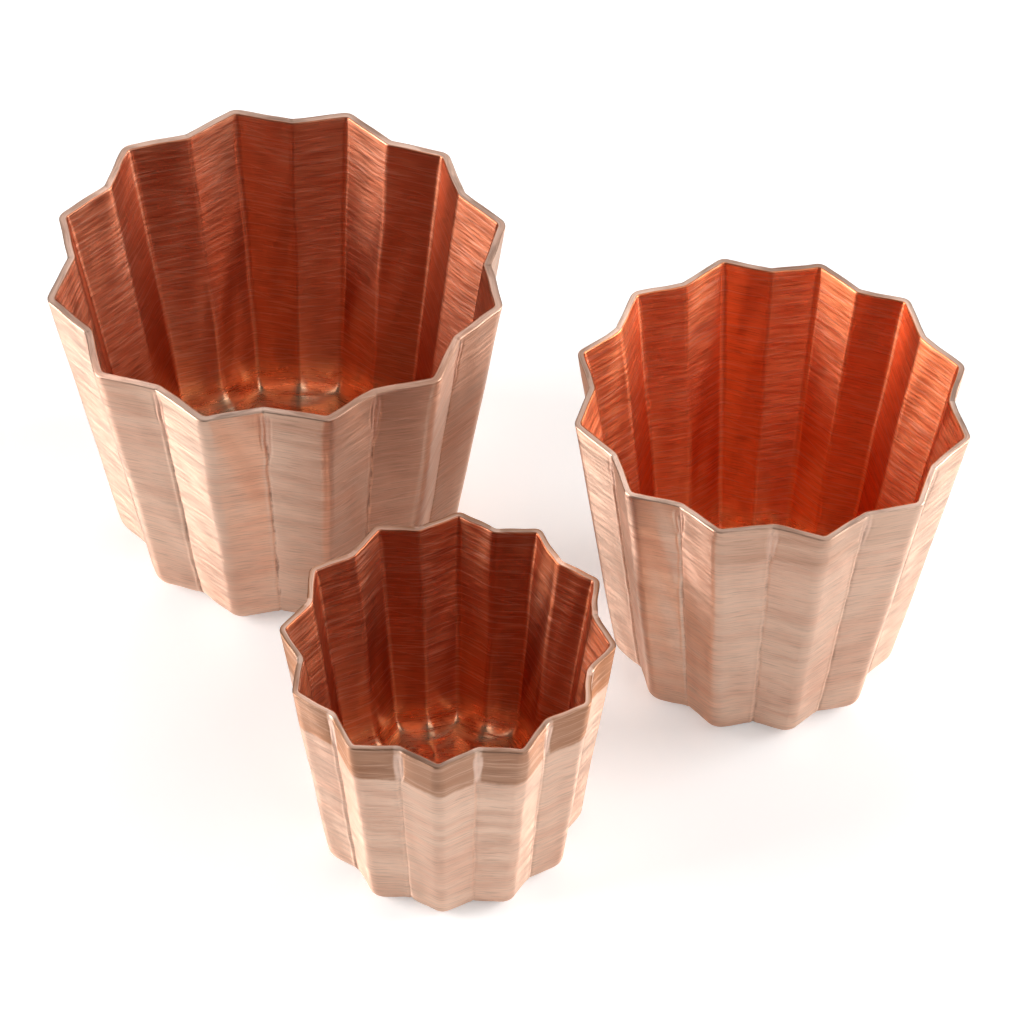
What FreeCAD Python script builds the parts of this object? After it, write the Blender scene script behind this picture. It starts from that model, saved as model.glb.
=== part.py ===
"""A set of three fluted copper baking moulds, large, medium and small, standing side by side.

Each mould is one piece drawn from sheet. Its tapered wall is pressed into flutes, with rounded
ridges outside and narrow creases between them. A rounded toe leads from the wall to a flat foot
that follows the flutes, and inside the foot the base is domed up. The mouth is open and its rim
is cut flat. Millimetres, +Z up, origin on the table at the middle of the set's footprint.
"""
import FreeCAD, Part
import math
import os
from collections import namedtuple

# The sizes of one mould. Diameters are across the outer skin and lie level.
Mould = namedtuple("Mould", [
    "node",               # name of the piece
    "rim_dia",            # over opposite ridges, at the rim
    "base_dia",           # over opposite ridges, where the taper meets the table
    "height",
    "rim_flute_depth",    # from a ridge in to a crease, at the rim
    "base_flute_depth",   # the same where the taper meets the table
    "wall",               # sheet thickness of the side, measured level
    "floor",              # sheet thickness of the base
    "rim_nose_radius",    # outer rounding of a ridge at the rim
    "base_nose_radius",   # outer rounding of a ridge at the base
    "crease_radius",      # outer rounding in the bottom of a crease
    "toe_radius",         # outer rounding between wall and foot
    "foot_width",         # flat ring between the toe and the dome, under a crease
    "dome_rise",          # height of the dome's underside above the table
    "turn",               # direction of the first ridge, degrees anticlockwise from +X
])

LARGE = Mould(
    node="large_mould",
    rim_dia=55.0, base_dia=42.4, height=42.0, rim_flute_depth=2.4, base_flute_depth=1.7,
    wall=1.0, floor=1.0,
    rim_nose_radius=2.2, base_nose_radius=1.8, crease_radius=0.3,
    toe_radius=3.0, foot_width=3.0, dome_rise=2.4, turn=14.3,
)
MEDIUM = Mould(
    node="medium_mould",
    rim_dia=46.0, base_dia=34.0, height=41.5, rim_flute_depth=2.15, base_flute_depth=1.6,
    wall=0.8, floor=0.8,
    rim_nose_radius=1.9, base_nose_radius=1.6, crease_radius=0.3,
    toe_radius=2.8, foot_width=2.5, dome_rise=2.0, turn=13.1,
)
SMALL = Mould(
    node="small_mould",
    rim_dia=37.4, base_dia=30.4, height=32.0, rim_flute_depth=1.85, base_flute_depth=1.4,
    wall=0.8, floor=0.8,
    rim_nose_radius=1.7, base_nose_radius=1.5, crease_radius=0.3,
    toe_radius=2.5, foot_width=2.2, dome_rise=1.6, turn=27.4,
)

# What the three moulds share, and how they stand.
FLUTES = 12                # ridges around each mould
TOE_STEPS = 5              # straight-sided bands that make up the rounded toe
GAP_LARGE_MEDIUM = 10.5    # clear space between the rim circles of the two moulds
GAP_LARGE_SMALL = 7.5
GAP_MEDIUM_SMALL = 4.6
MEDIUM_BEARING = -20.0     # direction of the medium mould seen from the large one, degrees
CUT_OVERRUN = 2.0          # how far a blank runs past the rim before it is cut flat

HALF_PITCH = math.pi / FLUTES


def along_taper(mould, base_value, rim_value, height):
    """A size that changes evenly from the base to the rim, at the given height."""
    return base_value + (rim_value - base_value) * height / mould.height


def polar(radius, angle, height):
    """The point at this radius, angle (radians) and height around the mould's own axis."""
    return FreeCAD.Vector(radius * math.cos(angle), radius * math.sin(angle), height)


def flute_outline(mould, height, depth, toe_inset):
    """Closed outline of the wall at one height, `depth` under the outer skin.

    Every ridge is an arc about a nose centre and every crease an arc about a crease centre
    outside it, and the straight facets are the lines that touch both circles from opposite
    sides. The centres stay the same at any depth, so two depths give parallel facets.
    toe_inset draws the whole outline in towards the axis, as the toe does.
    """
    ridge = along_taper(mould, mould.base_dia, mould.rim_dia, height) / 2 - toe_inset
    crease = ridge - along_taper(mould, mould.base_flute_depth, mould.rim_flute_depth, height)
    nose_radius = along_taper(mould, mould.base_nose_radius, mould.rim_nose_radius, height)
    nose_centre = ridge - nose_radius
    crease_centre = crease + mould.crease_radius

    # Direction of a facet's outward normal, for the facet on the anticlockwise side of a ridge
    # that points along +X: it leans from the line between the two centres by an angle whose
    # cosine is the sum of the two radii over their distance.
    across = crease_centre * math.cos(HALF_PITCH) - nose_centre
    along = crease_centre * math.sin(HALF_PITCH)
    spread = math.hypot(across, along)
    lean = math.acos((nose_radius + mould.crease_radius) / spread)
    facet_normal = math.atan2(along, across) - lean

    def touch(centre, centre_angle, reach, normal_angle):
        offset = polar(reach, normal_angle, 0.0)
        return polar(centre, centre_angle, height) + offset

    nose_reach = nose_radius - depth
    crease_reach = -(mould.crease_radius + depth)
    edges = []
    for flute in range(FLUTES):
        ridge_angle = 2 * HALF_PITCH * flute
        crease_angle = ridge_angle + HALF_PITCH
        next_ridge_angle = ridge_angle + 2 * HALF_PITCH
        leaving = ridge_angle + facet_normal
        arriving = next_ridge_angle - facet_normal
        nose_start = touch(nose_centre, ridge_angle, nose_reach, ridge_angle - facet_normal)
        nose_top = polar(ridge - depth, ridge_angle, height)
        nose_end = touch(nose_centre, ridge_angle, nose_reach, leaving)
        crease_start = touch(crease_centre, crease_angle, crease_reach, leaving)
        crease_bottom = polar(crease - depth, crease_angle, height)
        crease_end = touch(crease_centre, crease_angle, crease_reach, arriving)
        next_nose = touch(nose_centre, next_ridge_angle, nose_reach, arriving)
        edges.append(Part.Arc(nose_start, nose_top, nose_end).toShape())
        edges.append(Part.LineSegment(nose_end, crease_start).toShape())
        edges.append(Part.Arc(crease_start, crease_bottom, crease_end).toShape())
        edges.append(Part.LineSegment(crease_end, next_nose).toShape())
    return Part.Wire(edges)


def fluted_blank(mould, depth, bottom):
    """Solid fluted taper with its rounded toe, `depth` under the skin, from `bottom` up past the rim.

    The toe is a quarter circle about the same centre at every depth: each band is lower and
    further in than the one above it.
    """
    reach = mould.toe_radius - bottom
    sections = []
    for step in range(TOE_STEPS + 1):
        quarter = math.pi / 2 * step / TOE_STEPS
        height = mould.toe_radius - reach * math.cos(quarter)
        inset = reach * (1 - math.sin(quarter))
        sections.append(flute_outline(mould, height, depth, inset))
    sections.append(flute_outline(mould, mould.height + CUT_OVERRUN, depth, 0.0))
    return Part.makeLoft(sections, True, True)


def dome(mould, thickness):
    """Ball whose top makes the domed base: its underside, or its upper side with the sheet added."""
    crease_foot = mould.base_dia / 2 - mould.base_flute_depth - mould.toe_radius
    edge_radius = crease_foot - mould.foot_width
    underside_radius = (edge_radius ** 2 + mould.dome_rise ** 2) / (2 * mould.dome_rise)
    centre = FreeCAD.Vector(0, 0, mould.dome_rise - underside_radius)
    return Part.makeSphere(underside_radius + thickness, centre)


def make_mould(mould):
    """One mould about its own axis, standing on the table, with its first ridge along its turn."""
    above_rim = Part.makeCylinder(
        mould.rim_dia, 2 * CUT_OVERRUN, FreeCAD.Vector(0, 0, mould.height))
    outside = fluted_blank(mould, 0.0, 0.0).cut(above_rim).cut(dome(mould, 0.0))
    hollow = fluted_blank(mould, mould.wall, mould.floor).cut(dome(mould, mould.floor))
    shape = outside.cut(hollow)
    shape.rotate(FreeCAD.Vector(0, 0, 0), FreeCAD.Vector(0, 0, 1), mould.turn)
    return shape.Solids[0]


def standing_places():
    """Axis of each mould on the table, with the large mould's axis as zero.

    The medium mould stands off along its bearing, and the small one stands in front of the
    other two, where both its gaps are met.
    """
    large_medium = (LARGE.rim_dia + MEDIUM.rim_dia) / 2 + GAP_LARGE_MEDIUM
    large_small = (LARGE.rim_dia + SMALL.rim_dia) / 2 + GAP_LARGE_SMALL
    medium_small = (MEDIUM.rim_dia + SMALL.rim_dia) / 2 + GAP_MEDIUM_SMALL
    bearing = math.radians(MEDIUM_BEARING)
    cosine = (large_medium ** 2 + large_small ** 2 - medium_small ** 2) / (2 * large_medium * large_small)
    small_bearing = bearing - math.acos(cosine)
    return {
        LARGE.node: FreeCAD.Vector(0, 0, 0),
        MEDIUM.node: polar(large_medium, bearing, 0.0),
        SMALL.node: polar(large_small, small_bearing, 0.0),
    }


def make_set():
    """The three moulds where they stand, centred on the middle of the set's footprint."""
    places = standing_places()
    shapes = {}
    for mould in (LARGE, MEDIUM, SMALL):
        shapes[mould.node] = make_mould(mould)
        shapes[mould.node].translate(places[mould.node])
    footprint = Part.makeCompound(list(shapes.values())).optimalBoundingBox(False)
    for shape in shapes.values():
        shape.translate(FreeCAD.Vector(-footprint.Center.x, -footprint.Center.y, 0))
    return shapes


os.makedirs("parts", exist_ok=True)
for node, shape in make_set().items():
    shape.exportStep(os.path.join("parts", node + ".step"))
    print(node, "volume", round(shape.Volume, 1), "valid", shape.isValid(), "solids", len(shape.Solids))
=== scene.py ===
"""Three fluted copper baking moulds, large, medium and small, on a plain white table.

Each mould is one closed surface worked out with numpy: a profile that runs from the middle of the
underside out over the foot, up the outer wall, over the rim and down the inner wall to the middle
of the floor, carried around a twelve-fluted outline. Lengths are metres, +Z is up.
"""

import math

import bpy
import numpy as np
from mathutils import Matrix, Vector


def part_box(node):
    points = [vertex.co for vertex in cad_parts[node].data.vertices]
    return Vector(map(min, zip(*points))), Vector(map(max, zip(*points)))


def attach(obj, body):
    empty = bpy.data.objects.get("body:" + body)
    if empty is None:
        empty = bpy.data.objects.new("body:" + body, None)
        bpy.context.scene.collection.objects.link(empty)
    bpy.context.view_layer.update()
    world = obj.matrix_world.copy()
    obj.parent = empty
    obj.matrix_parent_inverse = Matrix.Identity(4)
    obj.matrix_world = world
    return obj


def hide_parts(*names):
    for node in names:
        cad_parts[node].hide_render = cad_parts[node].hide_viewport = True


bl_info = {
    "name": "Fluted Copper Moulds",
    "version": (1, 0, 0),
    "blender": (4, 5, 0),
    "location": "3D View > Sidebar > Moulds",
    "description": "Builds three fluted copper baking moulds on a white table",
    "category": "Object",
}

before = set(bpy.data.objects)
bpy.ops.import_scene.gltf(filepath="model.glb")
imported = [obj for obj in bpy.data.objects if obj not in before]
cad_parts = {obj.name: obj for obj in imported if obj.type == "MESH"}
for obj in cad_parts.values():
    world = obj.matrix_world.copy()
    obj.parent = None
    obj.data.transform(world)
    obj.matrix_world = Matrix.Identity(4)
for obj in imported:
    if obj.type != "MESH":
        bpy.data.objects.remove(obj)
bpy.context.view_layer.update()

MM = 0.001
FLUTES = 12
HALF_PITCH = math.pi / FLUTES
MOULD_SIZES = ("large", "medium", "small")


# ---- Settings a user would change ----

class MouldShape(bpy.types.PropertyGroup):
    """Sizes of one mould that its frame piece doesn't give by itself."""

    node: bpy.props.StringProperty(
        name="Piece", description="Frame piece that this mould stands for")
    body: bpy.props.StringProperty(name="Body", description="Body that the mould moves with")
    slot: bpy.props.StringProperty(name="Slot", description="Material slot of the mould's finish")
    base_radius: bpy.props.FloatProperty(
        name="Base Radius", description="Over a ridge, where the taper meets the table",
        default=21.2 * MM, unit="LENGTH", precision=5)
    rim_flute: bpy.props.FloatProperty(
        name="Flute Depth at Rim", description="From a ridge in to a crease, at the rim",
        default=2.4 * MM, unit="LENGTH", precision=5)
    base_flute: bpy.props.FloatProperty(
        name="Flute Depth at Base", description="From a ridge in to a crease, at the table",
        default=1.7 * MM, unit="LENGTH", precision=5)
    rim_nose: bpy.props.FloatProperty(
        name="Ridge Radius at Rim", description="Outer rounding of a ridge at the rim",
        default=2.2 * MM, unit="LENGTH", precision=5)
    base_nose: bpy.props.FloatProperty(
        name="Ridge Radius at Base", description="Outer rounding of a ridge at the base",
        default=1.8 * MM, unit="LENGTH", precision=5)
    wall: bpy.props.FloatProperty(
        name="Wall", description="Sheet thickness", default=1.0 * MM, unit="LENGTH", precision=5)
    toe: bpy.props.FloatProperty(
        name="Toe Radius", description="Outer rounding between wall and foot",
        default=3.0 * MM, unit="LENGTH", precision=5)
    foot: bpy.props.FloatProperty(
        name="Foot Width", description="Flat ring between the toe and the dome, under a crease",
        default=3.0 * MM, unit="LENGTH", precision=5)
    dome: bpy.props.FloatProperty(
        name="Dome Rise", description="Height of the dome's underside above the table",
        default=2.4 * MM, unit="LENGTH", precision=5)
    pocket_ridge: bpy.props.FloatProperty(
        name="Pocket Ridge", description="Rise of the floor between the pockets of two flutes",
        default=0.9 * MM, unit="LENGTH", precision=5)
    tongue: bpy.props.FloatProperty(
        name="Tongue Length",
        description="How far the punch mark runs down each crease from the rim",
        default=9.0 * MM, unit="LENGTH", precision=5)
    unevenness: bpy.props.FloatProperty(
        name="Unevenness", description="How far the hand-worked wall strays from its true form",
        default=0.22 * MM, unit="LENGTH", precision=5)
    seed: bpy.props.IntProperty(
        name="Seed", description="Picks the hand-worked unevenness", default=1)


class CopperFinish(bpy.types.PropertyGroup):
    """Colours and surface of the copper."""

    clean: bpy.props.FloatVectorProperty(
        name="Clean Copper", description="Freshly brushed copper", subtype="COLOR", size=3,
        min=0.0, max=1.0, default=(0.92, 0.64, 0.49))
    worn: bpy.props.FloatVectorProperty(
        name="Handled Copper", description="Copper that has dulled with use", subtype="COLOR",
        size=3, min=0.0, max=1.0, default=(0.80, 0.44, 0.31))
    tarnish: bpy.props.FloatVectorProperty(
        name="Tarnish", description="Brown film below the rim and in the creases",
        subtype="COLOR", size=3, min=0.0, max=1.0, default=(0.42, 0.18, 0.085))
    inside: bpy.props.FloatVectorProperty(
        name="Inside Copper", description="Copper of the inner wall, redder from the oven",
        subtype="COLOR", size=3, min=0.0, max=1.0, default=(0.86, 0.40, 0.24))
    # Painted shade: these two settings aim and weigh a dark brown mixed into one side of the outer
    # wall. It stands in for the shade and brown reflection of the neighbouring moulds.
    shade_side: bpy.props.FloatProperty(
        name="Shaded Side", description="Direction of the side that is handled most",
        default=math.radians(311.0), subtype="ANGLE")
    shade_side_strength: bpy.props.FloatProperty(
        name="Shaded Side Strength", description="How brown the handled side is", default=0.0,
        min=0.0, max=1.0, subtype="FACTOR")
    rim: bpy.props.FloatVectorProperty(
        name="Rim Copper", description="Copper of the cut rim", subtype="COLOR", size=3,
        min=0.0, max=1.0, default=(0.95, 0.66, 0.53))
    pressed: bpy.props.FloatVectorProperty(
        name="Pressed Copper", description="Copper in the punch marks at the crease tops",
        subtype="COLOR", size=3, min=0.0, max=1.0, default=(0.72, 0.40, 0.29))
    # A speckled dark line along the middle of each outer crease; this sets how dark it is.
    crease_darkening: bpy.props.FloatProperty(
        name="Crease Darkening", description="How dark the dirt in the outer creases is", default=0.6,
        min=0.0, max=1.0, subtype="FACTOR")
    roughness: bpy.props.FloatProperty(
        name="Roughness", description="Roughness of the brushed surface", default=0.40,
        min=0.0, max=1.0, subtype="FACTOR")
    brushing: bpy.props.FloatProperty(
        name="Brushing Depth", description="Depth of the brush lines", default=0.0052 * MM,
        unit="LENGTH", precision=6)
    band: bpy.props.FloatProperty(
        name="Band Strength", description="How brown the film below the rim is", default=0.0,
        min=0.0, max=1.0, subtype="FACTOR")
    band_depth: bpy.props.FloatProperty(
        name="Band Depth", description="How far the film reaches below the rim",
        default=5.5 * MM, unit="LENGTH", precision=5)


class StudioSettings(bpy.types.PropertyGroup):
    """Camera and light."""

    elevation: bpy.props.FloatProperty(
        name="Elevation", description="How far above the table the camera looks from",
        default=math.radians(47.36), subtype="ANGLE")
    roll: bpy.props.FloatProperty(
        name="Roll", description="Tilt of the camera about its own axis",
        default=math.radians(0.61), subtype="ANGLE")
    distance: bpy.props.FloatProperty(
        name="Distance", description="From the camera to the point it looks at",
        default=0.4618, unit="LENGTH", precision=4)
    lens: bpy.props.FloatProperty(
        name="Lens", description="Focal length in millimetres", default=128.94)
    lamp_power: bpy.props.FloatProperty(
        name="Lamp Power", description="Power of the left lamp, which the others follow",
        default=4.9, unit="POWER")


# ---- Shape of a mould ----

NOSE_STEPS = 8        # columns over the rounding of one ridge
FACET_STEPS = 7       # columns over one flat facet
CREASE_STEPS = 18     # columns over one crease and the strip each side of it

BASE_ROWS = 12        # stations under the base, over the toe, and so on around the profile
TOE_ROWS = 10
OUTER_ROWS = 84
RIM_ROWS = 4
INNER_ROWS = 56
FLOOR_ROWS = 20

CREASE_STRIP = 1.1 * MM          # half width of the finely divided strip along a crease
CREASE_RADIUS = 0.3 * MM
SOFT_CREASE_RADIUS = 0.8 * MM    # rounding of a crease at the rim, where the punch mark starts
COLLAR = 2.2 * MM                # height of the band below the rim where the ridges sharpen
COLLAR_SHARPENING = 0.5 * MM     # what a ridge's radius loses there
RIM_BEVEL = 0.14 * MM
POCKET_SPAN = 0.42               # share of the floor's radius that the pockets take up
WALL_LOBE = 1.2                  # rise at the foot of the inner wall, in pocket ridges

# Tool marks in the outer creases: a scored line, a bead beside it, and a pressed tongue's edge.
MARK_WANDER = 0.08 * MM
SCORE_WIDTH = 0.13 * MM
SCORE_DEPTH = 0.10 * MM
BEAD_OFFSET = 0.34 * MM
BEAD_WIDTH = 0.14 * MM
BEAD_HEIGHT = 0.06 * MM
TONGUE_HALF_WIDTH = 0.62 * MM
LEAST_TONGUE = 0.05 * MM         # half width under which no tongue is seen
TONGUE_EDGE_WIDTH = 0.11 * MM
TONGUE_DEPTH = 0.09 * MM

# How the hand-worked sheet strays, in shares of a mould's unevenness.
OUT_OF_ROUND = 0.9
RIDGE_PUSH = 0.8
DENTS = 0.22
RIM_WAVE = 0.7
RIDGE_SWING = 0.010              # radians
SEEDS_PER_MOULD = 100            # distance between two moulds' seeds

SEAM_NUDGE = 1e-4                # radians, keeps the wrap map's seam off a column
SURFACE_VALUES = (
    "skin", "below_rim", "crease_gap", "floor", "tongue", "direction_x", "direction_y")


def smoothstep(low, high, value):
    """0 below low, 1 above high, and a smooth cubic step between."""
    share = np.clip((value - low) / (high - low), 0.0, 1.0)
    return share * share * (3.0 - 2.0 * share)


def waves(seed, count, turns, heights, angle, height):
    """Sum of `count` sine waves over angle (whole turns) and height, scaled to about -1 to 1."""
    random = np.random.default_rng(seed)
    total = np.zeros(np.broadcast(angle, height).shape)
    for _ in range(count):
        around = random.integers(turns[0], turns[1] + 1)
        up = random.uniform(heights[0], heights[1])
        phase = random.uniform(0.0, 2.0 * math.pi)
        total = total + np.sin(around * angle + up * height + phase)
    return total / math.sqrt(count)


def read_frame_piece(node):
    """Axis, height, rim radius and first ridge direction of a mould, from its frame piece.

    The axis is the middle of the piece's box, because twelve flutes make it the same both ways
    round, and the first ridge is the rim point furthest from that axis.
    """
    low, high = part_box(node)
    axis = (low + high) / 2.0
    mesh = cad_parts[node].data
    points = np.zeros(len(mesh.vertices) * 3)
    mesh.vertices.foreach_get("co", points)
    points = points.reshape(-1, 3)
    away = points[:, :2] - np.array(axis[:2])
    reach = np.hypot(away[:, 0], away[:, 1])
    tip = int(np.argmax(reach))
    turn = math.atan2(away[tip, 1], away[tip, 0]) % (2.0 * HALF_PITCH)
    return {
        "x": axis.x, "y": axis.y, "height": high.z, "rim_radius": float(reach[tip]), "turn": turn}


class FlutedOutline:
    """The star outline of a mould's outer skin at many heights at once.

    Straight facets join sharp ridge corners to sharp crease corners. Each corner is then rounded
    by an arc that touches both its facets, so that the arc's centre lies on the corner's own
    radius at a distance of arc radius over the cosine of the facet's lean.
    """

    def __init__(self, ridge, crease, nose_radius, crease_radius):
        self.nose_radius = nose_radius
        self.crease_radius = crease_radius
        rough_lean = self.facet_lean(ridge, crease)
        self.ridge_corner = ridge + nose_radius * (1.0 / np.cos(rough_lean) - 1.0)
        self.crease_corner = crease
        self.lean = self.facet_lean(self.ridge_corner, self.crease_corner)
        self.nose_centre = self.ridge_corner - nose_radius / np.cos(self.lean)
        crease_lean = self.lean - HALF_PITCH
        self.crease_centre = self.crease_corner + crease_radius / np.cos(crease_lean)

    @staticmethod
    def facet_lean(ridge, crease):
        """Angle between a facet's outward normal and the ridge's radius."""
        along = crease * math.sin(HALF_PITCH)
        across = ridge - crease * math.cos(HALF_PITCH)
        return np.arctan2(across, along)

    def columns(self):
        """Points, normals and distances to the nearest crease, once around from a crease.

        Each row of the result is one height. A flute is its crease strip's second half, a facet,
        the ridge arc, a facet, and the next crease strip's first half.
        """
        lean = self.lean
        nose = self.nose_radius
        flute = {"x": [], "y": [], "normal": [], "crease_distance": []}

        def add(x, y, normal, distance):
            flute["x"].append(x)
            flute["y"].append(y)
            flute["normal"].append(normal)
            flute["crease_distance"].append(distance)

        crease_lean = lean - HALF_PITCH
        crease_x = self.crease_centre * math.cos(HALF_PITCH)
        crease_y = self.crease_centre * math.sin(HALF_PITCH)
        arc_half = self.crease_radius * np.sin(crease_lean)
        touch_x = crease_x - self.crease_radius * np.cos(lean)
        touch_y = crease_y - self.crease_radius * np.sin(lean)
        nose_x = self.nose_centre + nose * np.cos(lean)
        nose_y = nose * np.sin(lean)
        facet = np.hypot(touch_x - nose_x, touch_y - nose_y)
        strip_share = np.clip((CREASE_STRIP - arc_half) / facet, 0.02, 0.5)

        def on_facet(share):
            return nose_x + (touch_x - nose_x) * share, nose_y + (touch_y - nose_y) * share

        # From the middle of the ridge to the middle of the crease; the other half is its mirror.
        for step in range(NOSE_STEPS // 2 + 1):
            angle = lean * step / (NOSE_STEPS // 2)
            add(self.nose_centre + nose * np.cos(angle), nose * np.sin(angle), angle,
                arc_half + facet)
        for step in range(1, FACET_STEPS + 1):
            share = step / FACET_STEPS * (1.0 - strip_share)
            add(*on_facet(share), lean, arc_half + facet * (1.0 - share))
        half_strip = CREASE_STEPS // 2
        for step in range(1, half_strip + 1):
            reach = CREASE_STRIP * (1.0 - step / half_strip)
            in_arc = np.clip(reach / arc_half, 0.0, 1.0)
            arc_angle = HALF_PITCH + crease_lean * in_arc
            arc_x = crease_x - self.crease_radius * np.cos(arc_angle)
            arc_y = crease_y - self.crease_radius * np.sin(arc_angle)
            facet_x, facet_y = on_facet(1.0 - np.maximum(reach - arc_half, 0.0) / facet)
            outside = reach > arc_half
            add(np.where(outside, facet_x, arc_x), np.where(outside, facet_y, arc_y),
                np.where(outside, lean, arc_angle), reach * np.ones_like(lean))

        half = {key: np.stack(values, axis=1) for key, values in flute.items()}
        return self.around(half)

    @staticmethod
    def around(half):
        """The twelve flutes from the ridge-to-crease half flute, by mirroring and turning it."""
        ahead = {key: value[:, :-1] for key, value in half.items()}
        behind = {key: value[:, :0:-1] for key, value in half.items()}
        x = np.concatenate([behind["x"], ahead["x"]], axis=1)
        y = np.concatenate([-behind["y"], ahead["y"]], axis=1)
        normal = np.concatenate([-behind["normal"], ahead["normal"]], axis=1)
        distance = np.concatenate([behind["crease_distance"], ahead["crease_distance"]], axis=1)
        side = np.concatenate([-np.ones_like(behind["x"]), np.ones_like(ahead["x"])], axis=1)
        turns = 2.0 * HALF_PITCH * np.arange(FLUTES)
        cosine = np.repeat(np.cos(turns), x.shape[1])
        sine = np.repeat(np.sin(turns), x.shape[1])
        wide_x = np.tile(x, FLUTES)
        wide_y = np.tile(y, FLUTES)
        return {
            "x": wide_x * cosine - wide_y * sine,
            "y": wide_x * sine + wide_y * cosine,
            "normal": np.tile(normal, FLUTES) + np.repeat(turns, x.shape[1]),
            "crease_distance": np.tile(distance * side, FLUTES),
            "flute": np.repeat(np.arange(FLUTES), x.shape[1]) + 0 * wide_x,
        }


def profile_rows(shape, height):
    """The stations of the profile, from the underside's middle over the rim to the floor's middle.

    Each station has a height, an inset of the outline, a depth under the outer skin, a share of
    the radius (1 on walls and toe, down to 0 at a middle) and the skin it belongs to: 0 for the
    outer, 1 for the inner, and between them over the rim.
    """
    rows = {"z": [], "inset": [], "depth": [], "share": [], "skin": []}

    def add(z, inset, depth, share, skin):
        count = np.broadcast(z, inset, depth, share, skin).shape
        for key, value in zip(rows, (z, inset, depth, share, skin)):
            rows[key].append(np.broadcast_to(value, count).astype(float))

    wall = shape.wall
    toe = shape.toe
    inner_toe = toe - wall
    quarter = np.linspace(0.0, math.pi / 2.0, TOE_ROWS + 1)
    outer_share = np.linspace(0.0, 1.0, BASE_ROWS + 1)[1:-1]
    inner_share = np.linspace(1.0, 0.0, FLOOR_ROWS + 1)[1:-1]
    bevel = np.linspace(0.0, math.pi / 2.0, RIM_ROWS)
    across = np.linspace(RIM_BEVEL, wall - RIM_BEVEL, RIM_ROWS)[1:-1]

    add(0.0, toe, 0.0, outer_share, 0.0)
    add(toe - toe * np.cos(quarter), toe * (1.0 - np.sin(quarter)), 0.0, 1.0, 0.0)
    add(np.linspace(toe, height - RIM_BEVEL, OUTER_ROWS + 1)[1:-1], 0.0, 0.0, 1.0, 0.0)
    add(height - RIM_BEVEL * (1.0 - np.sin(bevel)), 0.0,
        RIM_BEVEL * (1.0 - np.cos(bevel)), 1.0, 0.0)
    add(height, 0.0, across, 1.0, across / wall)
    add(height - RIM_BEVEL * (1.0 - np.cos(bevel)), 0.0,
        wall - RIM_BEVEL * (1.0 - np.sin(bevel)), 1.0, 1.0)
    add(np.linspace(height - RIM_BEVEL, toe, INNER_ROWS + 1)[1:-1], 0.0, wall, 1.0, 1.0)
    add(toe - inner_toe * np.cos(quarter[::-1]), inner_toe * (1.0 - np.sin(quarter[::-1])), wall,
        1.0, 1.0)
    add(wall, inner_toe, wall, inner_share, 1.0)
    return {key: np.concatenate([np.atleast_1d(v) for v in values])[:, None]
            for key, values in rows.items()}


def mould_outline(shape, place, rows):
    """The fluted outline at every station, its corners changed over the last bit below the rim."""
    height = place["height"]
    z = rows["z"]
    up = z / height
    ridge = shape.base_radius + (place["rim_radius"] - shape.base_radius) * up - rows["inset"]
    crease = ridge - shape.base_flute - (shape.rim_flute - shape.base_flute) * up
    collar = smoothstep(height - COLLAR, height, z)
    nose_radius = (shape.base_nose + (shape.rim_nose - shape.base_nose) * up
                   - COLLAR_SHARPENING * collar)
    tongue_end = smoothstep(height - shape.tongue, height - 0.3 * shape.tongue, z)
    crease_radius = CREASE_RADIUS + (SOFT_CREASE_RADIUS - CREASE_RADIUS) * tongue_end
    return FlutedOutline(ridge[:, 0], crease[:, 0], nose_radius[:, 0], crease_radius[:, 0])


def shape_base(shape, rows, angle, radius, z):
    """Radius and height once base and floor are drawn in to the axis.

    The outline shrinks with its share of the radius while it turns from a star into a circle,
    and rises to the dome inside the foot. The floor also rises between the flutes, which leaves
    a pocket at the end of each, and that rise fades out a little way up the inner wall.
    """
    share = rows["share"]
    inner = rows["skin"] == 1.0
    toe_circle = radius.mean(axis=1, keepdims=True)
    roundness = smoothstep(0.05, 0.6, 1.0 - share)
    radius = share * (radius + (toe_circle - radius) * roundness)
    dome_edge = shape.base_radius - shape.base_flute - shape.toe - shape.foot
    dome = shape.dome * np.clip(1.0 - (radius / dome_edge) ** 2, 0.0, 1.0)
    z = z + np.where(share < 1.0, dome, 0.0)
    pocket = np.sin(math.pi * np.clip((1.0 - share) / POCKET_SPAN, 0.0, 1.0)) ** 2
    lobe = 0.5 - 0.5 * np.cos(FLUTES * angle)
    z = z + np.where((share < 1.0) & inner, shape.pocket_ridge * pocket * lobe, 0.0)
    above_pocket = smoothstep(3.5 * shape.toe, shape.wall, rows["z"])
    low_wall = inner & (share >= 1.0) & (rows["z"] < 4.0 * shape.toe)
    z = z + np.where(low_wall, WALL_LOBE * shape.pocket_ridge * above_pocket * lobe, 0.0)
    return radius, z


def hand_work(shape, up, on_wall, flute, angle, z):
    """How far the hand-worked sheet strays outward, around the axis (radians) and upward.

    The mould is slightly out of round, every ridge stands a little in or out and to one side,
    the wall has shallow dents, and the rim isn't quite level.
    """
    seed = shape.seed * SEEDS_PER_MOULD
    random = np.random.default_rng(seed)
    ridge_push = random.uniform(-1.0, 1.0, FLUTES)[flute]
    ridge_swing = random.uniform(-1.0, 1.0, FLUTES)[flute]
    free = up * on_wall
    near_ridge = np.cos(FLUTES / 2.0 * angle) ** 2
    roundness = waves(seed + 1, 3, (2, 3), (0.0, 30.0), angle, z)
    dents = waves(seed + 2, 10, (8, 40), (60.0, 420.0), angle, z)
    rim_wave = waves(seed + 3, 4, (1, 5), (0.0, 0.0), angle, z)
    outward = OUT_OF_ROUND * roundness * free
    outward = outward + RIDGE_PUSH * ridge_push * near_ridge * (0.3 + 0.7 * free) * on_wall
    outward = outward + DENTS * dents * on_wall
    swing = RIDGE_SWING * ridge_swing * near_ridge * on_wall
    upward = RIM_WAVE * shape.unevenness * rim_wave * up ** 4
    return shape.unevenness * outward, swing, upward


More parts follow.
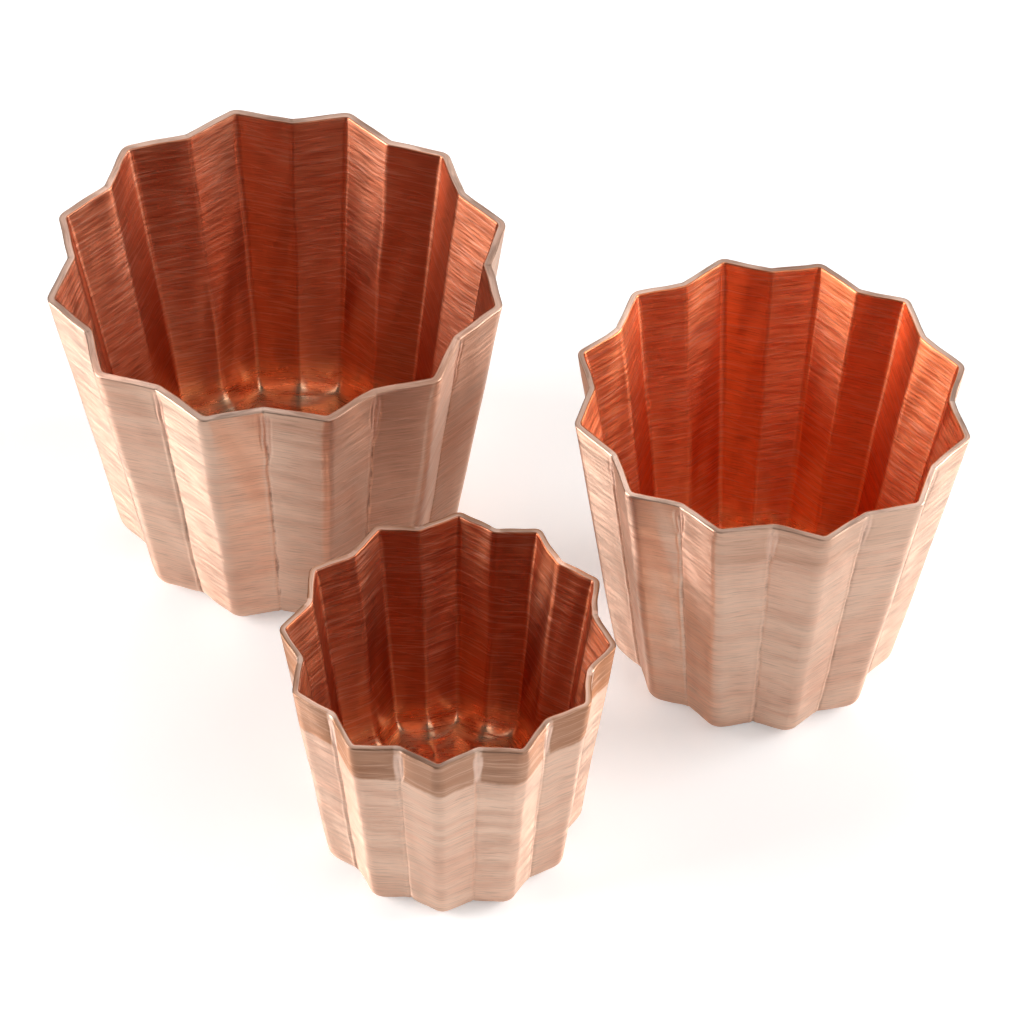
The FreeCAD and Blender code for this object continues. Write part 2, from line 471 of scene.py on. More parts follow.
def crease_marks(shape, distance, below_rim, angle, z):
    """Tool marks in a crease: how far they stand out, how far each point is from the wandering
    middle of the crease, and how much it lies in the tongue.

    A scored line with a bead on one side runs down the crease. Below the rim a punch has pressed
    a tongue, half an ellipse, whose edge is cut in.
    """
    nearest_ridge = np.round(angle * (FLUTES / 2.0) / math.pi)
    wander = MARK_WANDER * waves(
        shape.seed * SEEDS_PER_MOULD + 4, 6, (1, 30), (150.0, 1500.0), nearest_ridge, z)
    offset = distance - wander
    score = np.exp(-((offset / SCORE_WIDTH) ** 2)) * smoothstep(1.2 * MM, 3.0 * MM, below_rim)
    bead = np.exp(-(((offset - BEAD_OFFSET) / BEAD_WIDTH) ** 2))
    bead = bead * smoothstep(2 * MM, 4 * MM, below_rim)
    half_ellipse = np.sqrt(np.clip(1.0 - (below_rim / shape.tongue) ** 2, 0.0, 1.0))
    half_width = TONGUE_HALF_WIDTH * half_ellipse
    half_width = half_width * smoothstep(0.5 * MM, 1.3 * MM, below_rim)
    has_tongue = half_width > LEAST_TONGUE
    edge = np.abs(np.abs(offset) - half_width)
    tongue_edge = np.exp(-((edge / TONGUE_EDGE_WIDTH) ** 2)) * has_tongue
    marks = BEAD_HEIGHT * bead - SCORE_DEPTH * score - TONGUE_DEPTH * tongue_edge
    in_tongue = smoothstep(0.1 * MM, -0.1 * MM, np.abs(offset) - half_width) * has_tongue
    return marks, np.abs(offset), in_tongue


def mould_surface(shape, place):
    """Grid of points of one mould, and the values that its finish follows.

    A point is the fluted outline at its station's height, moved in along the facet's normal by
    the depth under the skin. Base and floor are then shaped, the whole sheet strays as hand
    work does, and the outer skin gets its tool marks.
    """
    rows = profile_rows(shape, place["height"])
    grid = mould_outline(shape, place, rows).columns()
    x = grid["x"] - rows["depth"] * np.cos(grid["normal"])
    y = grid["y"] - rows["depth"] * np.sin(grid["normal"])
    angle = np.arctan2(y, x)

    def over_grid(value):
        return value + 0.0 * x

    up = rows["z"] / place["height"]
    below_rim = place["height"] - rows["z"]
    share = rows["share"]
    on_wall = share >= 1.0
    outer_wall = (rows["skin"] == 0.0) & on_wall

    radius, z = shape_base(shape, rows, angle, np.hypot(x, y), over_grid(rows["z"]))
    outward, swing, upward = hand_work(shape, up, on_wall, grid["flute"].astype(int), angle, z)
    radius = radius + outward
    z = z + upward
    distance = grid["crease_distance"]
    marks, gap, in_tongue = crease_marks(shape, distance, below_rim, angle, z)
    radius = radius + np.where(outer_wall, marks, 0.0)

    turned = angle + swing + place["turn"]
    cosine = np.cos(turned)
    sine = np.sin(turned)
    points = np.stack([place["x"] + radius * cosine, place["y"] + radius * sine, z], -1)

    steps = np.linalg.norm(np.diff(points, axis=0), axis=2).mean(axis=1)
    run = np.concatenate([[0.0], np.cumsum(steps)])[:, None]
    low_wall = smoothstep(2.2 * shape.toe, 0.8 * shape.toe, rows["z"])
    values = {
        "direction_x": cosine,
        "direction_y": sine,
        "floor": over_grid(np.maximum(1.0 - share, low_wall)),
        "skin": over_grid(rows["skin"]),
        "below_rim": over_grid(below_rim),
        "tongue": np.where(outer_wall, in_tongue, 0.0),
        "crease_gap": np.where(outer_wall, gap, np.abs(distance)),
        "run": over_grid(run),
        "around": (angle + HALF_PITCH + SEAM_NUDGE) % (2.0 * math.pi) * place["rim_radius"],
        "full_turn": 2.0 * math.pi * place["rim_radius"],
    }
    middles = [
        (place["x"], place["y"], shape.dome),
        (place["x"], place["y"], shape.dome + shape.wall),
    ]
    return points, middles, values


def grid_mesh(name, points, middles, values):
    """Closed mesh from a grid that wraps around, with one point that closes each end.

    Faces run so that their normals point out of the sheet.
    """
    row_count, column_count = points.shape[:2]
    index = np.arange(row_count * column_count).reshape(row_count, column_count)
    following = np.roll(index, -1, axis=1)
    quads = np.stack([index[:-1], following[:-1], following[1:], index[1:]], -1).reshape(-1, 4)
    first = row_count * column_count
    last = first + 1
    under = np.stack([np.full(column_count, first), following[0], index[0]], -1)
    floor = np.stack([np.full(column_count, last), index[-1], following[-1]], -1)
    vertices = np.concatenate([points.reshape(-1, 3), np.array(middles)])
    mesh = bpy.data.meshes.new(name)
    mesh.from_pydata(vertices.tolist(), [], quads.tolist() + under.tolist() + floor.tolist())
    mesh.polygons.foreach_set("use_smooth", np.ones(len(mesh.polygons), bool))
    for key in SURFACE_VALUES:
        grid = values[key]
        ends = [grid[0].mean(), grid[-1].mean()]
        attribute = mesh.attributes.new(key, "FLOAT", "POINT")
        attribute.data.foreach_set("value", np.concatenate([grid.ravel(), ends]).astype(np.float32))
    add_wrap_map(mesh, values, quads, under, floor)
    mesh.validate()
    mesh.update()
    return mesh


def add_wrap_map(mesh, values, quads, under, floor):
    """UV map in metres: along the outline at rim size, and along the profile.

    Corners of the last column take the outline's full length, so that no face runs backwards.
    """
    around = np.concatenate([values["around"].ravel(), [0.0, 0.0]])
    run = np.concatenate([values["run"].ravel(), [0.0, values["run"][-1, 0]]])
    full_turn = values["full_turn"]
    parts = []
    for faces in (quads, under, floor):
        u = around[faces]
        wide = u.max(axis=1, keepdims=True) - u.min(axis=1, keepdims=True) > 0.5 * full_turn
        u = np.where(wide & (u < 0.5 * full_turn), u + full_turn, u)
        if faces is not quads:
            u[:, 0] = u[:, 1:].mean(axis=1)
        parts.append(np.stack([u, run[faces]], -1).reshape(-1, 2))
    layer = mesh.uv_layers.new(name="wrap")
    layer.data.foreach_set("uv", np.concatenate(parts).astype(np.float32).ravel())


def add_mould(shape, finish):
    """Makes one mould, gives it its copper and stands it for its frame piece."""
    if shape.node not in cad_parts:
        raise RuntimeError(f"The frame has no piece called {shape.node!r}")
    place = read_frame_piece(shape.node)
    points, middles, values = mould_surface(shape, place)
    mesh = grid_mesh(shape.node + "_copper", points, middles, values)
    mould = bpy.data.objects.new(shape.node + "_copper", mesh)
    bpy.context.scene.collection.objects.link(mould)
    mesh.materials.append(copper_material(shape, finish))
    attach(mould, shape.body)
    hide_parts(shape.node)


# ---- Copper ----

# Painted light: a brighter orange for the floor inside the moulds, standing in for lamp light
# gathered there.
PAINTED_FLOOR_LIGHT = (1.0, 0.56, 0.33)
RIM_STAIN = (0.42, 0.27, 0.21)
# Painted shade on the side that faces the other moulds, where they are reflected.
PAINTED_SIDE_SHADE = (0.42, 0.17, 0.09)
SCRATCH_COPPER = (1.0, 0.70, 0.55)
# Colour of the dark line along the outer creases.
CREASE_DARKENING = (0.25, 0.13, 0.09)

# Brush marks: cycles per metre around the mould and up it.
SWAY = (55.0, 30.0)
FINE_GRAIN = (230.0, 4600.0)
MIDDLE_GRAIN = (170.0, 2100.0)
DARK_DASHES = (260.0, 6000.0)
BROAD_TONE = (60.0, 420.0)
SWAY_REACH = 0.9 * MM
# Scratches: turn from level, cycles around and up, and the noise level where they begin.
SCRATCHES = (
    (0.02, 80.0, 3000.0, 0.62),
    (-0.06, 110.0, 2600.0, 0.65),
    (0.25, 90.0, 2400.0, 0.70),
)
FILM_WOBBLE = 1.6 * MM    # how far the film's lower edge strays
FILM_EDGE = 0.7 * MM      # height over which it fades out
FLOAT = "NodeSocketFloat"


class NodeSheet:
    """Short ways to add and join nodes in one node tree."""

    def __init__(self, tree):
        self.tree = tree

    def add(self, kind, **settings):
        """New node with these settings."""
        node = self.tree.nodes.new(kind)
        for key, value in settings.items():
            setattr(node, key, value)
        return node

    def link(self, source, target):
        """Joins two sockets, or gives the target a plain number or colour."""
        if isinstance(source, (int, float, tuple)):
            target.default_value = source
        else:
            self.tree.links.new(source, target)

    def math(self, operation, first, second, clamp=False):
        """Result of one operation on two numbers."""
        node = self.add("ShaderNodeMath", operation=operation, use_clamp=clamp)
        self.link(first, node.inputs[0])
        self.link(second, node.inputs[1])
        return node.outputs[0]

    def times(self, first, second):
        """Product of two numbers."""
        return self.math("MULTIPLY", first, second)

    def spread(self, value, low, high, to_low=0.0, to_high=1.0, smooth=True):
        """Maps low..high onto to_low..to_high and holds the ends."""
        node = self.add("ShaderNodeMapRange", clamp=True)
        if smooth:
            node.interpolation_type = "SMOOTHSTEP"
        for key, item in (("Value", value), ("From Min", low), ("From Max", high),
                          ("To Min", to_low), ("To Max", to_high)):
            self.link(item, node.inputs[key])
        return node.outputs["Result"]

    def mix_colour(self, factor, first, second, blend="MIX"):
        """Blend of two colours, each a socket or three numbers."""
        node = self.add("ShaderNodeMix", data_type="RGBA", blend_type=blend, clamp_factor=True)
        self.link(factor, node.inputs[0])
        for colour, target in ((first, node.inputs[6]), (second, node.inputs[7])):
            self.link((*colour, 1.0) if isinstance(colour, tuple) else colour, target)
        return node.outputs[2]

    def noise(self, vector, detail, roughness=0.5):
        """Flat noise, one cycle per unit of the coordinate."""
        node = self.add("ShaderNodeTexNoise", noise_dimensions="2D")
        self.link(vector, node.inputs["Vector"])
        node.inputs["Scale"].default_value = 1.0
        node.inputs["Detail"].default_value = detail
        node.inputs["Roughness"].default_value = roughness
        return node.outputs["Fac"]

    def stretch(self, vector, around, up, turn=0.0):
        """Scales a wrap coordinate, after turning it by a small angle."""
        turned = self.add("ShaderNodeMapping", vector_type="POINT")
        self.link(vector, turned.inputs["Vector"])
        turned.inputs["Rotation"].default_value = (0.0, 0.0, turn)
        scaled = self.add("ShaderNodeVectorMath", operation="MULTIPLY")
        self.link(turned.outputs["Vector"], scaled.inputs[0])
        scaled.inputs[1].default_value = (around, up, 1.0)
        return scaled.outputs["Vector"]


def new_group(name, inputs, outputs):
    """Empty shader group with named sockets; returns its sheet, input node and output node."""
    group = bpy.data.node_groups.new(name, "ShaderNodeTree")
    for socket, kind in inputs:
        group.interface.new_socket(name=socket, in_out="INPUT", socket_type=kind)
    for socket, kind in outputs:
        group.interface.new_socket(name=socket, in_out="OUTPUT", socket_type=kind)
    sheet = NodeSheet(group)
    return sheet, sheet.add("NodeGroupInput"), sheet.add("NodeGroupOutput")


def brushed_lines_group():
    """Brush lines that run around the mould.

    Fine is the dense hair-line grain, Dashes its thin dark strokes, Broad its slower tone and
    Scratches a few long bright strokes.
    """
    name = "Brushed Lines"
    if name in bpy.data.node_groups:
        return bpy.data.node_groups[name]
    sheet, given, out = new_group(
        name, [("Wrap", "NodeSocketVector")],
        [("Fine", FLOAT), ("Dashes", FLOAT), ("Broad", FLOAT), ("Scratches", FLOAT)])
    wrap = given.outputs["Wrap"]
    sway = sheet.noise(sheet.stretch(wrap, *SWAY), detail=1.0)
    sway = sheet.times(sheet.math("SUBTRACT", sway, 0.5), SWAY_REACH)
    shift = sheet.add("ShaderNodeCombineXYZ")
    sheet.link(sway, shift.inputs["Y"])
    swayed = sheet.add("ShaderNodeVectorMath", operation="ADD")
    sheet.link(wrap, swayed.inputs[0])
    sheet.link(shift.outputs["Vector"], swayed.inputs[1])
    swayed = swayed.outputs["Vector"]

    fine = sheet.noise(sheet.stretch(swayed, *FINE_GRAIN), detail=3.0, roughness=0.6)
    middle = sheet.noise(sheet.stretch(swayed, *MIDDLE_GRAIN, 0.01), detail=2.0, roughness=0.6)
    grain = sheet.math("ADD", sheet.times(fine, 0.5), sheet.times(middle, 0.5))
    sheet.link(grain, out.inputs["Fine"])

    dashes = sheet.noise(sheet.stretch(swayed, *DARK_DASHES, -0.005), detail=1.0)
    sheet.link(sheet.spread(dashes, 0.58, 0.68), out.inputs["Dashes"])

    broad = sheet.noise(sheet.stretch(swayed, *BROAD_TONE), detail=3.0)
    sheet.link(broad, out.inputs["Broad"])

    strokes = []
    for turn, around, up, level in SCRATCHES:
        stroke = sheet.noise(sheet.stretch(swayed, around, up, turn), detail=1.0)
        strokes.append(sheet.spread(stroke, level, level + 0.06))
    scratches = sheet.math("MAXIMUM", sheet.math("MAXIMUM", strokes[0], strokes[1]), strokes[2])
    sheet.link(scratches, out.inputs["Scratches"])
    return sheet.tree


def tarnish_group():
    """Where the copper is brown: a film below the rim, a speckled dark line along the outer
    creases, clouds elsewhere.
    """
    name = "Copper Tarnish"
    if name in bpy.data.node_groups:
        return bpy.data.node_groups[name]
    sheet, given, out = new_group(
        name,
        [("Wrap", "NodeSocketVector"), ("Below Rim", FLOAT), ("Crease Gap", FLOAT),
         ("Band Depth", FLOAT), ("Band Strength", FLOAT), ("Skin", FLOAT)],
        [("Film", FLOAT), ("Darkening", FLOAT), ("Clouds", FLOAT)])
    wrap = given.outputs["Wrap"]
    gap = given.outputs["Crease Gap"]
    outside = sheet.math("SUBTRACT", 1.0, given.outputs["Skin"], clamp=True)

    wobble = sheet.noise(sheet.stretch(wrap, 120.0, 60.0), detail=5.0, roughness=0.65)
    wobble = sheet.times(sheet.math("SUBTRACT", wobble, 0.5), FILM_WOBBLE)
    depth = sheet.math("ADD", given.outputs["Below Rim"], wobble)
    past = sheet.math("SUBTRACT", depth, given.outputs["Band Depth"])
    film = sheet.spread(past, 0.0, FILM_EDGE, 1.0, 0.0)
    patches = sheet.noise(sheet.stretch(wrap, 45.0, 12.0), detail=1.0)
    film = sheet.times(film, sheet.spread(patches, 0.36, 0.56, 0.7, 1.0))
    film = sheet.times(film, given.outputs["Band Strength"])
    film = sheet.times(film, sheet.spread(gap, 0.30 * MM, 0.65 * MM, 0.2, 1.0))
    sheet.link(sheet.times(film, outside), out.inputs["Film"])

    # A speckled dark line along the middle of each outer crease.
    speck = sheet.noise(sheet.stretch(wrap, 500.0, 260.0), detail=4.0, roughness=0.7)
    close = sheet.spread(gap, 0.04 * MM, 0.26 * MM, 1.0, 0.0)
    darkening = sheet.times(close, sheet.spread(speck, 0.40, 0.66))
    sheet.link(sheet.times(darkening, outside), out.inputs["Darkening"])

    clouds = sheet.noise(sheet.stretch(wrap, 70.0, 70.0), detail=4.0, roughness=0.6)
    sheet.link(sheet.spread(clouds, 0.38, 0.66), out.inputs["Clouds"])
    return sheet.tree


def copper_colour(sheet, finish, own, lines, tarnish):
    """Colour of the copper: clean tones by place, with painted light on the floor inside, then
    wear, painted shade on one side, brush lines, film, marks and a dark line in the creases.
    """
    skin = own["skin"]
    inside = own["inside"]
    clean = sheet.mix_colour(inside, tuple(finish.clean), tuple(finish.inside))
    # Painted light: the floor inside and the foot of the inner wall turn brighter orange, for lamp
    # light gathered there.
    clean = sheet.mix_colour(own["on_floor"], clean, PAINTED_FLOOR_LIGHT)
    rim = sheet.times(sheet.spread(skin, 0.0, 0.12), sheet.spread(skin, 0.88, 1.0, 1.0, 0.0))
    clean = sheet.mix_colour(rim, clean, tuple(finish.rim))
    stain = sheet.spread(
        sheet.noise(sheet.stretch(own["wrap"], 140.0, 500.0), detail=3.0), 0.46, 0.66)
    stain = sheet.times(sheet.times(rim, stain), 0.75)
    clean = sheet.mix_colour(stain, clean, RIM_STAIN)

    dull = sheet.times(tarnish.outputs["Clouds"], 0.35)
    dull = sheet.math("ADD", dull, sheet.spread(lines.outputs["Broad"], 0.35, 0.75, -0.08, 0.22))
    dull = sheet.times(dull, sheet.spread(inside, 0.0, 1.0, 1.0, 0.2))
    colour = sheet.mix_colour(dull, clean, tuple(finish.worn))
    # Painted shade: the outer wall turned towards the given side darkens to brown, for the
    # neighbouring moulds' reflection and shade.
    facing = sheet.math("ADD", sheet.times(own["direction_x"], math.cos(finish.shade_side)),
                        sheet.times(own["direction_y"], math.sin(finish.shade_side)))
    shaded = sheet.times(sheet.spread(facing, 0.72, 0.95), finish.shade_side_strength)
    shaded = sheet.times(shaded, sheet.math("SUBTRACT", 1.0, inside))
    colour = sheet.mix_colour(shaded, colour, PAINTED_SIDE_SHADE)

    bright = sheet.spread(lines.outputs["Fine"], 0.34, 0.68, 0.91, 1.08, smooth=False)
    dash_tone = sheet.spread(lines.outputs["Dashes"], 0.0, 1.0, 1.0, 0.84, smooth=False)
    bright = sheet.times(bright, dash_tone)
    tone = sheet.add("ShaderNodeCombineXYZ")
    for axis in ("X", "Y", "Z"):
        sheet.link(bright, tone.inputs[axis])
    colour = sheet.mix_colour(1.0, colour, tone.outputs["Vector"], "MULTIPLY")

    colour = sheet.mix_colour(tarnish.outputs["Film"], colour, tuple(finish.tarnish))
    colour = sheet.mix_colour(sheet.times(own["tongue"], 0.6), colour, tuple(finish.pressed))
    scratches = sheet.times(lines.outputs["Scratches"], sheet.spread(inside, 0.0, 1.0, 0.22, 0.2))
    colour = sheet.mix_colour(scratches, colour, SCRATCH_COPPER)
    # The dark line along the outer creases goes over everything else.
    darkening = sheet.times(tarnish.outputs["Darkening"], finish.crease_darkening)
    return sheet.mix_colour(darkening, colour, CREASE_DARKENING)


def copper_roughness(sheet, finish, own, lines, tarnish):
    """Roughness: streaky with the brush lines, lower on the floor, higher under the film."""
    outside = sheet.spread(
        lines.outputs["Broad"], 0.3, 0.7, finish.roughness - 0.04, finish.roughness + 0.05)
    outside = sheet.math(
        "ADD", outside, sheet.spread(lines.outputs["Fine"], 0.43, 0.57, -0.06, 0.06))
    by_skin = sheet.add("ShaderNodeMix", data_type="FLOAT")
    sheet.link(own["inside"], by_skin.inputs[0])
    sheet.link(outside, by_skin.inputs[2])
    sheet.link(sheet.spread(lines.outputs["Fine"], 0.30, 0.68, 0.30, 0.46), by_skin.inputs[3])
    rough = sheet.math("SUBTRACT", by_skin.outputs[0], sheet.times(own["on_floor"], 0.08))
    return sheet.math("ADD", rough, sheet.times(tarnish.outputs["Film"], 0.10))


def copper_bump(sheet, finish, own, lines):
    """Normal with the brush lines cut in, shallower on the floor."""
    height = sheet.math(
        "ADD", lines.outputs["Fine"], sheet.times(lines.outputs["Scratches"], 0.15))
    bump = sheet.add("ShaderNodeBump")
    bump.inputs["Strength"].default_value = 1.0
    bump.inputs["Distance"].default_value = finish.brushing
    height = sheet.times(height, sheet.spread(own["on_floor"], 0.0, 1.0, 1.0, 0.3))
    sheet.link(height, bump.inputs["Height"])
    return bump.outputs["Normal"]


def copper_material(shape, finish):
    """Brushed copper of one mould: brush lines in colour, roughness and bump, tarnish over them."""
    material = bpy.data.materials.new(shape.slot)
    material.use_nodes = True
    material.node_tree.nodes.clear()
    sheet = NodeSheet(material.node_tree)
    own = {key: sheet.add("ShaderNodeAttribute", attribute_name=key).outputs["Fac"]
           for key in SURFACE_VALUES}
    own["wrap"] = sheet.add("ShaderNodeUVMap", uv_map="wrap").outputs["UV"]
    own["inside"] = sheet.spread(own["skin"], 0.9, 1.0)
    own["on_floor"] = sheet.times(own["inside"], own["floor"])

    lines = sheet.add("ShaderNodeGroup", node_tree=brushed_lines_group())
    sheet.link(own["wrap"], lines.inputs["Wrap"])
    tarnish = sheet.add("ShaderNodeGroup", node_tree=tarnish_group())
    for socket, source in (("Wrap", own["wrap"]), ("Below Rim", own["below_rim"]),
                           ("Crease Gap", own["crease_gap"]), ("Skin", own["skin"]),
                           ("Band Depth", finish.band_depth), ("Band Strength", finish.band)):
        sheet.link(source, tarnish.inputs[socket])

    copper = sheet.add("ShaderNodeBsdfPrincipled")
    copper.inputs["Metallic"].default_value = 1.0
    copper.inputs["Anisotropic"].default_value = 0.85
    copper.inputs["Anisotropic Rotation"].default_value = 0.25    # a quarter turn
    sheet.link(copper_colour(sheet, finish, own, lines, tarnish), copper.inputs["Base Color"])
    sheet.link(copper_roughness(sheet, finish, own, lines, tarnish), copper.inputs["Roughness"])
    sheet.link(copper_bump(sheet, finish, own, lines), copper.inputs["Normal"])
    output = sheet.add("ShaderNodeOutputMaterial")
    sheet.link(copper.outputs["BSDF"], output.inputs["Surface"])
    return material


# ---- Table, light and camera ----

TABLE_RADIUS = 2.5
TABLE_STEPS = 96
TABLE_COLOUR = (0.86, 0.855, 0.85, 1.0)
WHITE = (1.0, 1.0, 1.0, 1.0)
GLOW_FROM = 0.10          # distances from the middle over which the table's glow rises
GLOW_TO = 0.45
LEAST_GLOW = 0.34
SURROUNDING_LIGHT = 0.11  # strength of the surroundings as light

LAMP_DISTANCE = 0.7
LAMP_WIDTH = 0.42
LAMP_AIM = (0.0, 0.0, 0.02)
# Name, bearing and elevation in degrees, and share of the lamp power.
LAMPS = (
    ("left_lamp", -173.0, 26.0, 1.0),
    ("right_lamp", 7.0, 26.0, 0.87),
    ("front_fill", -45.0, 50.0, 0.21),
    ("back_fill", 90.0, 50.0, 0.13),
)


def add_table():
    """Round white table top.

    It glows towards the camera alone, and more the further a point is from the middle, so that
    the far table is white and the table near the moulds keeps their shadows.
    """
    angle = np.linspace(0.0, 2.0 * math.pi, TABLE_STEPS, endpoint=False)
    rim = np.stack([TABLE_RADIUS * np.cos(angle), TABLE_RADIUS * np.sin(angle), 0.0 * angle], -1)
    mesh = bpy.data.meshes.new("table_top")
    mesh.from_pydata(rim.tolist(), [], [list(range(TABLE_STEPS))])
    table = bpy.data.objects.new("table_top", mesh)
    bpy.context.scene.collection.objects.link(table)
    material = bpy.data.materials.new("white_table")
    material.use_nodes = True
    sheet = NodeSheet(material.node_tree)
    surface = material.node_tree.nodes["Principled BSDF"]
    surface.inputs["Base Color"].default_value = TABLE_COLOUR
    surface.inputs["Roughness"].default_value = 0.6
    surface.inputs["Emission Color"].default_value = WHITE
    path = sheet.add("ShaderNodeLightPath")
    spot = sheet.add("ShaderNodeTexCoord").outputs["Object"]
    away = sheet.add("ShaderNodeVectorMath", operation="LENGTH")
    sheet.link(spot, away.inputs[0])
    glow = sheet.spread(away.outputs["Value"], GLOW_FROM, GLOW_TO, LEAST_GLOW, 1.0)
    glow = sheet.times(path.outputs["Is Camera Ray"], glow)
    sheet.link(glow, surface.inputs["Emission Strength"])
    mesh.materials.append(material)


def add_world():
    """White surroundings: strength 1 to the camera alone, and soft as light and in the copper."""
    world = bpy.data.worlds.new("studio")
    bpy.context.scene.world = world
    world.use_nodes = True
    sheet = NodeSheet(world.node_tree)
    background = world.node_tree.nodes["Background"]
    background.inputs["Color"].default_value = WHITE
    path = sheet.add("ShaderNodeLightPath")
    strength = sheet.spread(path.outputs["Is Camera Ray"], 0.0, 1.0, SURROUNDING_LIGHT, 1.0)
    sheet.link(strength, background.inputs["Strength"])


def add_lamp(name, bearing, elevation, power):
    """Soft square lamp that faces the set from a bearing and an elevation in degrees."""
    light = bpy.data.lights.new(name, "AREA")
    light.shape = "SQUARE"
    light.size = LAMP_WIDTH
    light.energy = power
    lamp = bpy.data.objects.new(name, light)
    level = LAMP_DISTANCE * math.cos(math.radians(elevation))
    lamp.location = (
        level * math.cos(math.radians(bearing)), level * math.sin(math.radians(bearing)),
        LAMP_DISTANCE * math.sin(math.radians(elevation)))
    towards_set = Vector(LAMP_AIM) - lamp.location
    lamp.rotation_euler = towards_set.to_track_quat("-Z", "Y").to_euler()
    bpy.context.scene.collection.objects.link(lamp)


def add_camera(studio):
    """Camera that looks along +Y and down at the set, rolled slightly about its own axis."""
    set_middle = Vector((1.3 * MM, 19.6 * MM, -0.1 * MM))
    back = Vector((0.0, -math.cos(studio.elevation), math.sin(studio.elevation)))
    right = Vector((1.0, 0.0, 0.0))
    up = back.cross(right)
    level = Matrix((right, up, back)).transposed()
    rolled = level @ Matrix.Rotation(studio.roll, 3, "Z")
    data = bpy.data.cameras.new("camera")
    data.lens = studio.lens
    data.sensor_width = 36.0
    data.clip_start = 0.01
    camera = bpy.data.objects.new("camera", data)
    camera.matrix_world = Matrix.Translation(set_middle + back * studio.distance) @ rolled.to_4x4()
    bpy.context.scene.collection.objects.link(camera)
    bpy.context.scene.camera = camera


# ---- Operators ----

class MOULDS_OT_large(bpy.types.Operator):
    """Add the large fluted mould"""

    bl_idname = "moulds.add_large"
    bl_label = "Large Mould"

    def execute(self, context):
        add_mould(context.scene.large_mould_shape, context.scene.large_mould_finish)
        return {"FINISHED"}


class MOULDS_OT_medium(bpy.types.Operator):
    """Add the medium fluted mould"""

    bl_idname = "moulds.add_medium"
    bl_label = "Medium Mould"

    def execute(self, context):
        add_mould(context.scene.medium_mould_shape, context.scene.medium_mould_finish)
        return {"FINISHED"}


class MOULDS_OT_small(bpy.types.Operator):
    """Add the small fluted mould"""

    bl_idname = "moulds.add_small"
    bl_label = "Small Mould"

    def execute(self, context):
        add_mould(context.scene.small_mould_shape, context.scene.small_mould_finish)
        return {"FINISHED"}


class MOULDS_OT_stage(bpy.types.Operator):
    """Add the table, the light and the camera"""

    bl_idname = "moulds.add_stage"
    bl_label = "Table, Light and Camera"

    def execute(self, context):
        studio = context.scene.moulds_studio
        context.scene.view_settings.view_transform = "Standard"
        add_table()
        add_world()
        for name, bearing, elevation, share in LAMPS:
            add_lamp(name, bearing, elevation, share * studio.lamp_power)
        add_camera(studio)
        return {"FINISHED"}


class MOULDS_PT_sidebar(bpy.types.Panel):
    """Lists the moulds and the stage"""

    bl_idname = "MOULDS_PT_sidebar"
    bl_label = "Fluted Moulds"
    bl_space_type = "VIEW_3D"
    bl_region_type = "UI"
    bl_category = "Moulds"

    def draw(self, context):
        for operator in (MOULDS_OT_large, MOULDS_OT_medium, MOULDS_OT_small, MOULDS_OT_stage):
            self.layout.operator(operator.bl_idname)
        for size in MOULD_SIZES:
            box = self.layout.box()
            shape = getattr(context.scene, size + "_mould_shape")
            finish = getattr(context.scene, size + "_mould_finish")
            for name in ("base_radius", "rim_flute", "base_flute", "wall", "unevenness"):
                box.prop(shape, name)
            for name in ("clean", "worn", "tarnish", "inside", "roughness", "brushing"):
                box.prop(finish, name)


CLASSES = (
    MouldShape, CopperFinish, StudioSettings,
    MOULDS_OT_large, MOULDS_OT_medium, MOULDS_OT_small, MOULDS_OT_stage, MOULDS_PT_sidebar,
)


def register():
    for item in CLASSES:
        bpy.utils.register_class(item)
    for size in MOULD_SIZES:
        shape = bpy.props.PointerProperty(type=MouldShape)
        finish = bpy.props.PointerProperty(type=CopperFinish)
        setattr(bpy.types.Scene, size + "_mould_shape", shape)
        setattr(bpy.types.Scene, size + "_mould_finish", finish)
    bpy.types.Scene.moulds_studio = bpy.props.PointerProperty(type=StudioSettings)


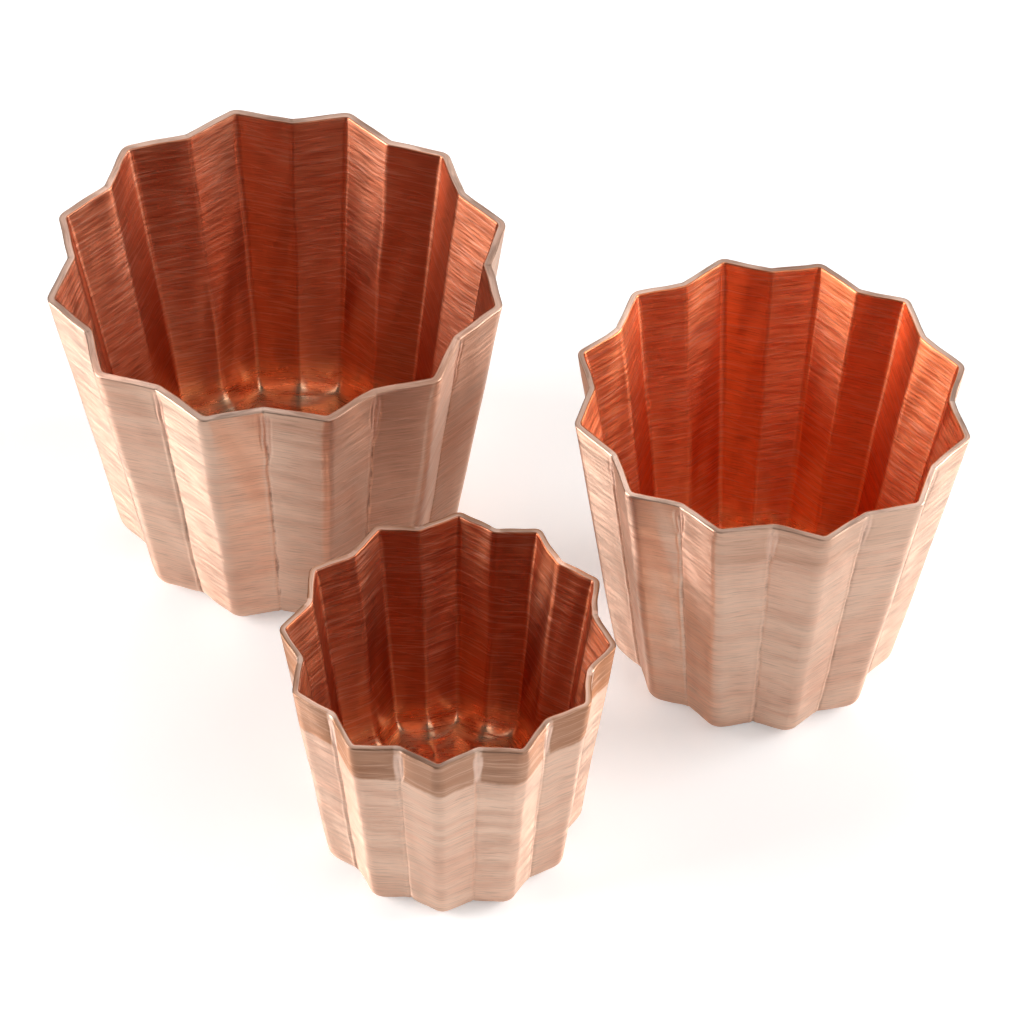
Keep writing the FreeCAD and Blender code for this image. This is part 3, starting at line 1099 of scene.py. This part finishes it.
def unregister():
    del bpy.types.Scene.moulds_studio
    for size in MOULD_SIZES:
        delattr(bpy.types.Scene, size + "_mould_finish")
        delattr(bpy.types.Scene, size + "_mould_shape")
    for item in reversed(CLASSES):
        bpy.utils.unregister_class(item)


# Where a mould differs from the settings' defaults, which are the large mould's.
SHAPE_CHANGES = {
    "large": {},
    "medium": {
        "base_radius": 17.0 * MM, "rim_flute": 2.15 * MM, "base_flute": 1.6 * MM,
        "rim_nose": 1.9 * MM, "base_nose": 1.6 * MM, "wall": 0.8 * MM, "toe": 2.8 * MM,
        "foot": 2.5 * MM, "dome": 2.0 * MM, "pocket_ridge": 0.7 * MM, "tongue": 6.0 * MM,
        "seed": 2,
    },
    "small": {
        "base_radius": 15.2 * MM, "rim_flute": 1.85 * MM, "base_flute": 1.4 * MM,
        "rim_nose": 1.7 * MM, "base_nose": 1.5 * MM, "wall": 0.8 * MM, "toe": 2.5 * MM,
        "foot": 2.2 * MM, "dome": 1.6 * MM, "pocket_ridge": 0.5 * MM, "tongue": 6.0 * MM,
        "seed": 3,
    },
}
FINISH_CHANGES = {
    "large": {
        "inside": (0.70, 0.25, 0.13), "band": 0.12, "crease_darkening": 0.65,
        # Painted shade on the large mould's side towards the other two.
        "shade_side_strength": 0.45,
    },
    "medium": {
        "inside": (0.95, 0.31, 0.13), "band": 0.2, "crease_darkening": 0.4,
        "pressed": (0.90, 0.60, 0.47),
    },
    "small": {
        "inside": (0.66, 0.20, 0.09), "band": 0.95, "crease_darkening": 0.15,
        "pressed": (0.97, 0.70, 0.58),
    },
}


def set_sizes(scene):
    """Gives each mould its piece, body, slot, sizes and finish."""
    for size in MOULD_SIZES:
        shape = getattr(scene, size + "_mould_shape")
        shape.node = size + "_mould"
        shape.body = size
        shape.slot = size + "_copper"
        for key, value in SHAPE_CHANGES[size].items():
            setattr(shape, key, value)
        finish = getattr(scene, size + "_mould_finish")
        for key, value in FINISH_CHANGES[size].items():
            setattr(finish, key, value)


def main():
    register()
    set_sizes(bpy.context.scene)
    bpy.ops.moulds.add_large()
    bpy.ops.moulds.add_medium()
    bpy.ops.moulds.add_small()
    bpy.ops.moulds.add_stage()


if __name__ == "__main__":
    main()
